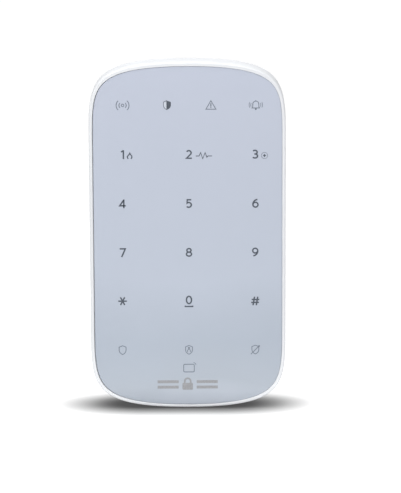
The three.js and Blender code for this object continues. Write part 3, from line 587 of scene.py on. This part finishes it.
def case_shell(front):
    """Back wall and side walls, thicker inside round the lock notch."""
    edge_in, edge_deep = 2.8 * MM, 3.8 * MM  # the rounded back edge
    outer = [(0.25 * MM, front), (0, front + 0.3 * MM)]
    outer += arc((edge_in, CASE_BACK_Y - edge_deep), (edge_in, edge_deep), 180, 90, 10)
    hollow_in, hollow_deep = 1.4 * MM, 2.4 * MM
    inner = [(WALL, front - PAST)]
    corner = (WALL + hollow_in, CASE_INNER_Y - hollow_deep)
    inner += arc(corner, (hollow_in, hollow_deep), 180, 90, 6)
    half = 8 * MM
    liner = block((-half, front - 2 * MM, BELOW), (half, PAST, NOTCH_ROOF + 1.2 * MM))
    return cut(outline_skin("outer", outer), cut(outline_skin("inner", inner), liner))


def tongue(front, posts):
    """The ring inside the side wall that reaches into the front frame, open at the screw posts."""
    step = WALL + 0.2 * MM
    thick = 1.1 * MM
    reach, root = 1.7 * MM, 1.4 * MM
    ring = outline_skin("tongue", [
        (step + 0.15 * MM, front - reach),
        (step, front - 1.5 * MM),
        (step, front + 0.6 * MM),
        (WALL - 0.6 * MM, front + root),
        (step + thick, front + root),
        (step + thick, front - reach),
    ], closed=True, steps=31)
    gaps = [rod(POST_R + 0.4 * MM, -13 * MM, CASE_INNER_Y, x, z) for x, z in posts]
    return cut(ring, joined(gaps))


def head_room():
    """Walls and pockets behind each wall screw slot, long enough for the lift."""
    floor_y = CASE_BACK_Y - 2.6 * MM
    wall = 1.2 * MM
    walls, pockets = [], []
    for x, z, w, h in SCREW_SLOTS:
        half_x = (w - SLOT_WIDTH + SCREW_HEAD) / 2
        half_z = (h - SLOT_WIDTH + SCREW_HEAD) / 2
        walls.append(block(
            (x - half_x - wall, floor_y - wall, z - half_z - wall - LIFT),
            (x + half_x + wall, CASE_BACK_Y - 0.2 * MM, z + half_z + wall)))
        pocket = rounded(2 * half_x, 2 * half_z + LIFT, 0.6 * MM, x, z - LIFT / 2)
        pockets.append(flared(pocket, floor_y, CASE_BACK_Y, 0.25 * MM))
    return walls, pockets


def back_windows(through):
    """Cutting tools for the hook slots, the power switch, the sounder holes and the battery bay."""
    outlines = []
    for x, z in HOOK_PLACES:
        slot = rounded(9 * MM, 9.75 * MM, 0.5 * MM, x, z - 3.725 * MM)
        outlines.append((slot, 0.25 * MM))
    switch_x = POWER_X + POWER_TRAVEL / 2
    outlines.append((rounded(7.2 * MM, 3.6 * MM, 0.5 * MM, switch_x, POWER_Z), 0.25 * MM))
    for x in (12, 15, 18):
        for z in (38, 41.2):
            circle = rounded(1.8 * MM, 1.8 * MM, 0.89 * MM, x * MM, z * MM, 4)
            outlines.append((circle, 0.2 * MM))
    outlines.append((rounded(71.2 * MM, 41.8 * MM, 0.6 * MM, 0, -8.5 * MM), 0.3 * MM))
    return [flared(points, through, CASE_BACK_Y, flare) for points, flare in outlines]


def rear_case():
    front = PARTING_Y + PARTING_HALF_GAP
    through = CASE_INNER_Y - PAST
    posts = [place_of(name) for name in CASE_SCREWS]
    shell = case_shell(front)
    ring = tongue(front, posts)

    notch_half, notch_deep = 6.6 * MM, 3.1 * MM
    notch = block((-notch_half, LOCK_Y - notch_deep, BELOW), (notch_half, PAST, NOTCH_ROOF))
    boss = rod(2.7 * MM, NOTCH_ROOF + 0.3 * MM, -62 * MM, 0, LOCK_Y, "Z")
    boss_bore = rod(1.6 * MM, NOTCH_ROOF - PAST, -63.2 * MM, 0, LOCK_Y, "Z")

    pillars, pillar_bores = [], []
    for name in BOARD_SCREWS:
        x, z = place_of(name)
        pillars.append(rod(2.4 * MM, -15.9 * MM, CASE_INNER_Y + 1 * MM, x, z))
        pillar_bores.append(rod(0.95 * MM, -17 * MM, -9 * MM, x, z))
    sleeve = rod(4.7 * MM, -8.4 * MM, CASE_INNER_Y + 1 * MM, PIN_X, PIN_Z)
    walls, pockets = head_room()
    shell = merged(shell, ring)
    shell = cut(shell, notch)
    shell = merged(shell, boss, joined([*pillars, sleeve]), joined(walls))

    heads = [rod(2.85 * MM, CASE_BACK_Y - 0.95 * MM, PAST, x, z) for x, z in posts]
    shanks = [rod(1.5 * MM, through, -3 * MM, x, z) for x, z in posts]
    sleeve_bore = rod(3.75 * MM, -10 * MM, CASE_INNER_Y, PIN_X, PIN_Z)
    tip_hole = rod(2.3 * MM, -5 * MM, PAST, PIN_X, PIN_Z)
    shell = cut(
        shell,
        joined(pockets),
        joined(back_windows(through)),
        joined([*pillar_bores, *heads, boss_bore]),
        joined([*shanks, sleeve_bore]),
        tip_hole,
    )
    made = mesh_object("rear_case_shell", smooth_by_angle(shell), "keypad_unit",
                       LOOKS["white_abs"])
    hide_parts("rear_case")


# ------------------------------------------------------------ bracket, screws and cells
def hook(x, z, inner):
    """A hook that stands behind the case's back wall at inner, its claw pointing up."""
    tip = inner - 1.5 * MM
    stem_half = 1 * MM
    low, high = x - HOOK_HALF_WIDTH, x + HOOK_HALF_WIDTH
    stem = block((low, tip, z - stem_half), (high, -1 * MM, z + stem_half))
    lead = [
        (z + 0.5 * MM, tip),
        (z + 5.2 * MM, tip),
        (z + 6 * MM, tip + 0.5 * MM),
        (z + 6 * MM, inner),
        (z + 0.5 * MM, inner),
    ]
    sides = [[Vector((side, y, height)) for height, y in lead] for side in (low, high)]
    return merged(stem, from_rings("claw", sides))


def wall_bracket():
    thick = BRACKET_FRONT_Y
    inset = BRACKET_INSET
    plate = outline_skin("plate", [
        (inset + 0.3 * MM, thick),
        (inset + 0.08 * MM, thick + 0.08 * MM),
        (inset, thick + 0.3 * MM),
        (inset, -0.45 * MM),
        (inset + 0.12 * MM, -0.12 * MM),
        (inset + 0.45 * MM, 0),
    ])
    half = LIP_HALF_WIDTH
    tab = block((-half, thick, LIP_BOTTOM), (half, 0, -68 * MM))
    lip = block((-half, LOCK_Y - 2.8 * MM, LIP_BOTTOM), (half, -1 * MM, LIP_TOP))
    hooks = [hook(x, z, CASE_INNER_Y - 0.3 * MM) for x, z in HOOK_PLACES]
    body = merged(plate, tab, lip, joined(hooks))

    through = thick - PAST
    recess_y = -0.9 * MM
    tools = []
    for w, h, x, z in ((24, 50, -21, 31), (15, 50, 11, 31), (24, 42, -21, -26), (24, 42, 21, -26)):
        points = rounded(w * MM, h * MM, 2.5 * MM, x * MM, z * MM)
        tools.append(flared(points, recess_y, 0, 0.3 * MM))
    for x, z, w, h in SCREW_SLOTS:
        points = rounded(w, h, 2.39 * MM, x, z, 10)
        tools.append(flared(points, through, 0, 0.35 * MM))
    window = rounded(7 * MM, 14 * MM, 1.5 * MM, PIN_X, PIN_Z + LIFT / 2)
    tools.append(flared(window, through, 0, 0.3 * MM))
    lock_hole = rod(1.7 * MM, LIP_BOTTOM - PAST, LIP_TOP + PAST, 0, LOCK_Y, "Z")
    body = cut(body, joined(tools), lock_hole)
    made = mesh_object("bracket_plate", smooth_by_angle(body), "bracket",
                       LOOKS["white_abs"])
    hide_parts("wall_bracket")


# Half sections of the screws, from the tip to the face of the head: (radius, height) in mm.
PAN_SCREW = [(0.6, -8), (1.2, -6.8), (1.2, 0), (2.6, 0), (2.6, 0.42), (2.45, 0.64), (2.1, 0.8)]
LOCK_SCREW = [
    (0.1, -10.6), (1.4, -10), (1.4, -1.4), (2.4, -1.4), (2.4, -0.4), (2.3, -0.12), (1.9, 0),
]


def screw(name, centre, profile, body, up=False):
    """A turned screw with a cross recess, its head facing +Y, or -Z when up."""
    face = profile[-1][1] * MM
    drive, blade, recess = 2.2 * MM, 0.5 * MM, 0.7 * MM
    blank = turned([(r * MM, y * MM) for r, y in profile], (0, 0, 0), "Y", 40)
    cross = []
    for w, h in ((drive, blade), (blade, drive)):
        cross.append(prism(rounded(w, h, 0.12 * MM, steps=3), face - recess, face + PAST))
    mesh = cut(blank, merged(*cross))
    if up:
        mesh.transform(Matrix.Rotation(math.radians(-90), 4, "X"))
    mesh.transform(Matrix.Translation(centre))
    made = mesh_object(f"{name}_cross_head", smooth_by_angle(mesh), body, LOOKS["steel"])
    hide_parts(name)


def screws():
    seat = CASE_BACK_Y - 0.9 * MM
    for name in CASE_SCREWS:
        x, z = place_of(name)
        screw(name, (x, seat, z), PAN_SCREW, "keypad_unit")
    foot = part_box("lock_screw")[0].z
    screw("lock_screw", (0, LOCK_Y, foot), LOCK_SCREW, "bracket", up=True)


# A cell along its axis, from the minus end: (radius, height) in mm.
SLEEVE_PROFILE = [
    (7.4, 0.25), (7.7, 0.05), (8.1, 0), (8.38, 0.2), (8.5, 0.7), (8.5, 31.6), (8.36, 31.9),
    (8.36, 32.2), (8.48, 32.5), (8.4, 33.1), (8.1, 33.45), (7.7, 33.4), (7.4, 33.2),
]
MINUS_DISC = [(7.2, 0.08), (7.3, 0.16), (7.3, 0.3)]
PLUS_CAP = [
    (7.3, 33.1), (7.3, 33.32), (3.5, 33.36), (3.15, 33.5), (3, 33.8), (3, 34.25), (2.75, 34.5),
]
CELL_COUNT = 4


def cells():
    """Each cell: a shrink sleeve that folds over both ends of its can, and the bare metal ends."""
    for n in range(1, CELL_COUNT + 1):
        low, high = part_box(f"battery_{n}")
        spring_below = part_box(f"battery_spring_{n}")[0].z < low.z
        minus, side = (low.z, 1) if spring_below else (high.z, -1)
        centre = ((low.x + high.x) / 2, (low.y + high.y) / 2, minus)

        def body(profile):
            return turned([(r * MM, side * h * MM) for r, h in profile], centre, "Z", 56)

        sleeve = mesh_object(f"battery_{n}_sleeve", smooth_by_angle(body(SLEEVE_PROFILE), 40),
                             "keypad_unit", LOOKS["cell_wrap"])
        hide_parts(f"battery_{n}")
        ends = joined([body(MINUS_DISC), body(PLUS_CAP)])
        mesh_object(f"battery_{n}_ends", smooth_by_angle(ends, 40),
                    "keypad_unit", LOOKS["nickel"])


rear_case()
wall_bracket()
screws()
cells()

# ------------------------------------------------------------ printed legends
INK_FRONT = GLASS_FRONT_Y - 0.015 * MM
INK_BACK = GLASS_FRONT_Y + 0.010 * MM
DIGIT = 0.64  # widths of the printed lines, mm
LINE = 0.34
FINE = 0.26
PRINT_SPREAD = 0.00015  # how much wider apart the print grows, for each mm down
PRINT_DRIFT = 0.005  # how far it moves to the left, for each mm down


def bend(centre, radii, start, stop, steps=12):
    """Points of an elliptical arc in the glass plane, in mm, with angles in degrees."""
    points = []
    for i in range(steps + 1):
        a = math.radians(start + (stop - start) * i / steps)
        points.append((centre[0] + radii[0] * math.cos(a), centre[1] + radii[1] * math.sin(a)))
    return points


def stroke(points, width, closed=False):
    """A printed line of constant width along (x, z) points in mm, as a thin closed solid."""
    path = [Vector(p) for p in points]
    count = len(path)
    rings = []
    for i, point in enumerate(path):
        if closed:
            before, after = path[i - 1], path[(i + 1) % count]
        else:
            before, after = path[max(i - 1, 0)], path[min(i + 1, count - 1)]
        first = (point - before) if point != before else (after - point)
        second = (after - point) if point != after else first
        first, second = first.normalized(), second.normalized()
        side = Vector((-first.y, first.x)) + Vector((-second.y, second.x))
        side = side.normalized()
        mitre = max(0.45, side.dot(Vector((-first.y, first.x))))
        reach = side * (width / 2 / mitre)
        left, right = (point + reach) * MM, (point - reach) * MM
        rings.append([
            Vector((left.x, INK_FRONT, left.y)),
            Vector((right.x, INK_FRONT, right.y)),
            Vector((right.x, INK_BACK, right.y)),
            Vector((left.x, INK_BACK, left.y)),
        ])
    return from_rings("stroke", rings, closed)


def filled(points):
    """A printed patch inside (x, z) points in mm."""
    return prism([Vector(p) * MM for p in points], INK_FRONT, INK_BACK)


def placed(mesh, x, z):
    """A legend moved to its place: the print drifts and spreads a little towards the foot."""
    across = x * (1 - PRINT_SPREAD * z) + PRINT_DRIFT * z
    mesh.transform(Matrix.Translation((across * MM, 0, z * MM)))
    return mesh


def glyph(parts):
    return merged(parts[0], *parts[1:]) if len(parts) > 1 else parts[0]


def digit(name):
    """One key's character, about 3.9 mm tall, centred on the origin."""
    lines = {
        "1": [[(-0.62, 1.15), (0.14, 1.62), (0.34, 1.62), (0.34, -1.92)]],
        "2": [bend((-0.05, 0.68), (0.98, 0.97), 155, -32) + [(-1.05, -1.64), (1.22, -1.64)]],
        "3": [
            bend((-0.15, 0.86), (0.95, 0.80), 145, -90) + [(-0.45, 0.06)],
            [(-0.45, 0.06)] + bend((-0.15, -0.80), (1.12, 0.86), 90, -145),
        ],
        "4": [[(1.35, -0.85), (-1.22, -0.85), (0.42, 1.55), (0.52, 1.55), (0.52, -1.92)]],
        "5": [
            [(1.0, 1.64), (-0.72, 1.64), (-0.82, 0.18)]
            + bend((-0.12, -0.58), (1.14, 1.06), 118, -138)
        ],
        "6": [
            bend((1.10, -0.55), (2.15, 2.2), 182, 95),
            bend((0.06, -0.62), (1.08, 1.04), 0, 345, 22),
        ],
        "7": [[(-1.25, 1.64), (1.18, 1.64), (-0.42, -1.95)]],
        "8": [
            bend((0, 0.87), (0.90, 0.78), 0, 345, 22),
            bend((0, -0.79), (1.10, 0.87), 0, 345, 22),
        ],
        "9": [
            bend((-1.10, 0.55), (2.15, 2.2), 2, -85),
            bend((-0.06, 0.62), (1.08, 1.04), 0, 345, 22),
        ],
        "0": [bend((0, 0.42), (1.08, 1.62), 0, 348, 28)],
        "star": [
            [(-1.85, 0), (1.85, 0)],
            [(-0.92, -1.7), (0.92, 1.7)],
            [(-0.92, 1.7), (0.92, -1.7)],
        ],
        "hash": [
            [(-1.0, -2.05), (-0.35, 1.75)],
            [(0.40, -2.05), (1.05, 1.75)],
            [(-1.62, 0.50), (1.72, 0.50)],
            [(-1.78, -0.78), (1.55, -0.78)],
        ],
    }[name]
    loops = {("6", 1), ("8", 0), ("8", 1), ("9", 1), ("0", 0)}
    return glyph([stroke(p, DIGIT, (name, i) in loops) for i, p in enumerate(lines)])


COLUMNS = (-28.05, 0.55, 29.15)
ROWS = (35.8, 14.5, -6.8, -28.15)
KEYS = (("1", "2", "3"), ("4", "5", "6"), ("7", "8", "9"), ("star", "0", "hash"))
STATUS_Z = 57.05
ARM_Z = -49.8


def shield(width=3.0, height=3.9):
    """Outline of a heater shield, clockwise from the top centre."""
    w, h = width / 2, height / 2
    right = [(0.0, h), (w * 0.5, h * 0.84), (w, h * 0.68), (w, -h * 0.06)]
    right += [(w * 0.84, -h * 0.48), (w * 0.46, -h * 0.80), (0.0, -h)]
    left = [(-x, z) for x, z in reversed(right[1:-1])]
    return right + left


def wireless():
    rings = [stroke(bend((0, 0), (0.55, 0.55), 0, 340, 17), LINE, True)]
    for radius, spread in ((1.55, 42), (2.75, 46)):
        for side in (0, 180):
            rings.append(stroke(bend((0, 0), (radius, radius), side - spread, side + spread), 0.36))
    return rings


def triangle():
    return [stroke([(0, 1.85), (-2.15, -1.80), (2.15, -1.80)], LINE, True)]


def exclamation():
    return [stroke([(0, 0.75), (0, -0.65)], 0.38), stroke([(0, -0.88), (0, -1.26)], 0.38)]


def bell():
    dome = bend((0, 0.30), (1.28, 1.30), 180, 0)
    body = [(-1.62, -1.35), (-1.30, -0.80)] + dome + [(1.30, -0.80), (1.62, -1.35)]
    parts = [
        stroke(body, LINE, True),
        filled(bend((0, -1.85), (0.42, 0.36), 0, 345, 14)),
        stroke([(0, 1.6), (0, 2.0)], LINE),
    ]
    for side in (-1, 1):
        for radius, spread in ((2.15, 22), (2.85, 24)):
            middle = 90 - 90 * side
            arc_points = bend((0, 0), (radius, radius), middle - spread, middle + spread, 6)
            parts.append(stroke(arc_points, FINE))
    return parts


def flame():
    line = [(-0.62, -1.25), (-0.98, -0.45), (-0.62, 0.25), (-0.18, 0.55), (0.10, 1.20)]
    line += [(0.50, 0.55), (0.98, -0.15), (0.98, -0.70), (0.62, -1.25)]
    return [stroke(line, 0.50)]


def pulse():
    """A plain heartbeat line, beside key 2."""
    line = [(-3.5, -0.2), (-2.1, -0.2), (-1.4, 1.3), (-0.5, -1.4), (0.5, 1.3), (1.25, -0.75)]
    line += [(1.7, -0.2), (3.5, -0.2)]
    return [stroke(line, 0.36)]


def circle():
    return [stroke(bend((0, 0), (1.35, 1.35), 0, 348, 24), 0.20, True)]


def plus():
    return [stroke([(-0.66, 0), (0.66, 0)], 0.42), stroke([(0, -0.66), (0, 0.66)], 0.42)]


def card():
    frame_line = [(p.x / MM, p.y / MM) for p in rounded(4.6 * MM, 3.4 * MM, 0.5 * MM, steps=4)]
    wave = bend((2.05, 1.45), (0.95, 0.95), -5, 95, 6)
    return [stroke(frame_line, 0.36, True), stroke(wave, FINE)]


def padlock_mark():
    """A plain padlock between two pairs of bars."""
    body = [(p.x / MM, p.y / MM) for p in rounded(4.6 * MM, 3.1 * MM, 0.5 * MM, 0, -1.2 * MM, 4)]
    shackle = [(-1.3, 0.1)] + bend((0, 1.0), (1.3, 1.35), 180, 0) + [(1.3, 0.1)]
    parts = [filled(body), stroke(shackle, 0.75)]
    for side in (-1, 1):
        for z in (0.85, -1.55):
            parts.append(stroke([(side * 3.9, z), (side * 13.1, z)], 1.3))
    return parts


def at(parts, x, z):
    return placed(glyph(parts), x, z)


def legends():
    dark, light = [], []
    for row, z in zip(KEYS, ROWS):
        for name, x in zip(row, COLUMNS):
            dark.append(placed(digit(name), x, z))
    open_box = [(-1.6, 0.42), (-1.6, 0.0), (1.6, 0.0), (1.6, 0.42)]
    dark.append(placed(stroke(open_box, 0.60), COLUMNS[1], ROWS[3] - 2.45))
    dark.append(at(flame(), -25.05, 35.25))
    dark.append(at(plus(), 33.1, 35.2))
    dark.append(at(pulse(), 7.0, 35.3))
    light.append(at(circle(), 33.1, 35.2))
    light.append(at(wireless(), COLUMNS[0], STATUS_Z))
    light.append(at(triangle(), 10.0, STATUS_Z))
    dark.append(at(exclamation(), 10.0, STATUS_Z))
    light.append(at(bell(), 29.35, STATUS_Z))
    light.append(placed(stroke(shield(), LINE, True), COLUMNS[0], ARM_Z))
    night = [
        stroke(shield(), LINE, True),
        stroke([(-0.62, -1.0)] + bend((0, -0.35), (0.62, 0.55), 180, 0, 8) + [(0.62, -1.0)], 0.30),
        filled(bend((0, 0.85), (0.46, 0.46), 0, 345, 14)),
    ]
    light.append(at(night, COLUMNS[1], ARM_Z))
    disarm = [stroke(shield(), LINE, True), stroke([(-1.75, -1.85), (1.60, 1.55)], LINE)]
    for x, z, dot in ((-1.75, -1.85, 0.26), (1.60, 1.55, 0.42)):
        disarm.append(filled(bend((x, z), (dot, dot), 0, 345, 12)))
    light.append(at(disarm, COLUMNS[2], ARM_Z))
    light.append(at(card(), COLUMNS[1], -57.9))

    # The half-filled shield: its right half is solid, and its left half is pale in a dark outline.
    shield_x, middle, shrink = -8.85, -0.3, 0.86
    right_half = [p for p in shield(3.2, 4.0) if p[0] >= 0]
    left_half = [(-x, z) for x, z in reversed(right_half)]
    solid_half = [(x if x else middle, z) for x, z in right_half]
    dark.append(placed(filled(solid_half), shield_x, STATUS_Z))
    dark.append(placed(stroke(left_half, 0.24), shield_x, STATUS_Z))
    pale_half = [(min(x * shrink, middle - 0.04), z * shrink) for x, z in left_half]
    pale = [placed(filled(pale_half), shield_x, STATUS_Z)]

    for name, parts, look in (
        ("legend_keys", dark, INK_DARK),
        ("legend_symbols", light, INK_LIGHT),
        ("legend_shield_fill", pale, INK_PALE),
        ("legend_mark", [at(padlock_mark(), 0, -64.8)], INK_GREY),
    ):
        mesh_object(name, joined(parts), "keypad_unit", look)


legends()


# ------------------------------------------------------------ finish of the CAD pieces that stay
def finish_cad_nodes():
    slots = {row["node"]: row["material_slot"] for row in frame["record"]["subparts"]}
    for name, node in frame["nodes"].items():
        look = LOOKS[slots[name]]
        if not node.material_slots:
            node.data.materials.append(look)
        for place in node.material_slots:
            place.material = look


finish_cad_nodes()


# ------------------------------------------------------------ stage, light
def grey(level):
    return (level, level, level)


def floor():
    """A pale floor with the soft contact shadow of a case that stands on its curved foot, painted into
    the floor's colour and glow.
    """
    half = 6.0
    z = -HALF_HEIGHT - 0.05 * MM
    corners = [(-half, -half, z), (half, -half, z), (half, half, z), (-half, half, z)]
    mesh = bpy.data.meshes.new("floor")
    mesh.from_pydata(corners, [], [(0, 1, 2, 3)])
    look = Look("floor", roughness=0.9, specular=0.1)

    def math_node(operation, first, second=0.0):
        return look.node("ShaderNodeMath", {0: first, 1: second}, operation=operation).outputs[0]

    # Painted contact shadow: its darkness falls off with distance from a short line under the case,
    # counted less across than in depth.
    line_x, line_half, line_y = -1.9 * MM, 15.8 * MM, -13.4 * MM
    stretch = 0.565
    dark_reach, clear_reach = 6.5 * MM, 31.5 * MM
    axes = look.node("ShaderNodeSeparateXYZ", {"Vector": look.place}).outputs
    across = math_node("ABSOLUTE", math_node("SUBTRACT", axes["X"], line_x))
    side = math_node("MAXIMUM", math_node("SUBTRACT", across, line_half))
    depth = math_node("SUBTRACT", axes["Y"], line_y)
    offset = look.node("ShaderNodeCombineXYZ", {"X": math_node("MULTIPLY", side, stretch), "Y": depth})
    reach = look.node("ShaderNodeVectorMath", {0: offset.outputs[0]}, operation="LENGTH")
    mask = look.node(
        "ShaderNodeMapRange",
        {0: reach.outputs["Value"], 1: dark_reach, 2: clear_reach, 3: 0.0, 4: 1.0},
        interpolation_type="SMOOTHSTEP",
    ).outputs[0]
    # Painted shadow: the floor's colour and glow both darken where lit is low.
    lit = math_node("MULTIPLY", mask, look.span(look.noise(3, 2), 0.97, 1.0))
    look.color(look.ramp(lit, [(0.0, grey(0.10)), (1.0, grey(0.50))]))
    glow_with_painted_shadow = look.ramp(lit, [(0.0, grey(0.07)), (1.0, grey(0.87))])
    look.tree.links.new(glow_with_painted_shadow, look.shader.inputs["Emission Color"])
    look.shader.inputs["Emission Strength"].default_value = 1.0
    made = bpy.data.objects.new("floor", mesh)
    mesh.materials.append(look.material)
    bpy.context.collection.objects.link(made)


def area_light(name, place, aim, size, power):
    data = bpy.data.lights.new(name, "AREA")
    data.shape = "RECTANGLE"
    data.size, data.size_y = size
    data.energy = power
    made = bpy.data.objects.new(name, data)
    made.location = place
    made.rotation_mode = "QUATERNION"
    direction = Vector(aim) - Vector(place)
    made.rotation_quaternion = direction.to_track_quat("-Z", "Y")
    made.visible_glossy = False
    bpy.context.collection.objects.link(made)


def lighting():
    """An even white studio that the camera sees as pure white, and four soft lamps."""
    world = bpy.data.worlds.new("studio")
    world.use_nodes = True
    tree = world.node_tree
    background = tree.nodes["Background"]
    background.inputs["Color"].default_value = (1, 1, 1, 1)
    path = tree.nodes.new("ShaderNodeLightPath").outputs["Is Camera Ray"]
    level = tree.nodes.new("ShaderNodeMapRange")
    level.inputs["To Min"].default_value = 0.34
    level.inputs["To Max"].default_value = 1.05
    tree.links.new(path, level.inputs["Value"])
    tree.links.new(level.outputs[0], background.inputs["Strength"])
    bpy.context.scene.world = world
    area_light("key", (-0.30, -0.36, 0.42), (0, -0.02, 0.02), (0.3, 0.3), 0.38)
    area_light("overhead", (-0.05, -0.04, 0.62), (0, 0, 0), (0.5, 0.4), 3.7)
    area_light("front", (0, -0.35, 0.33), (0, -0.02, 0), (0.4, 0.3), 0.6)
    area_light("foot", (0, -0.044, -0.0745), (0, -0.022, -0.0730), (0.10, 0.004), 0.0068)
    bpy.context.scene.view_settings.view_transform = "Standard"


floor()
lighting()
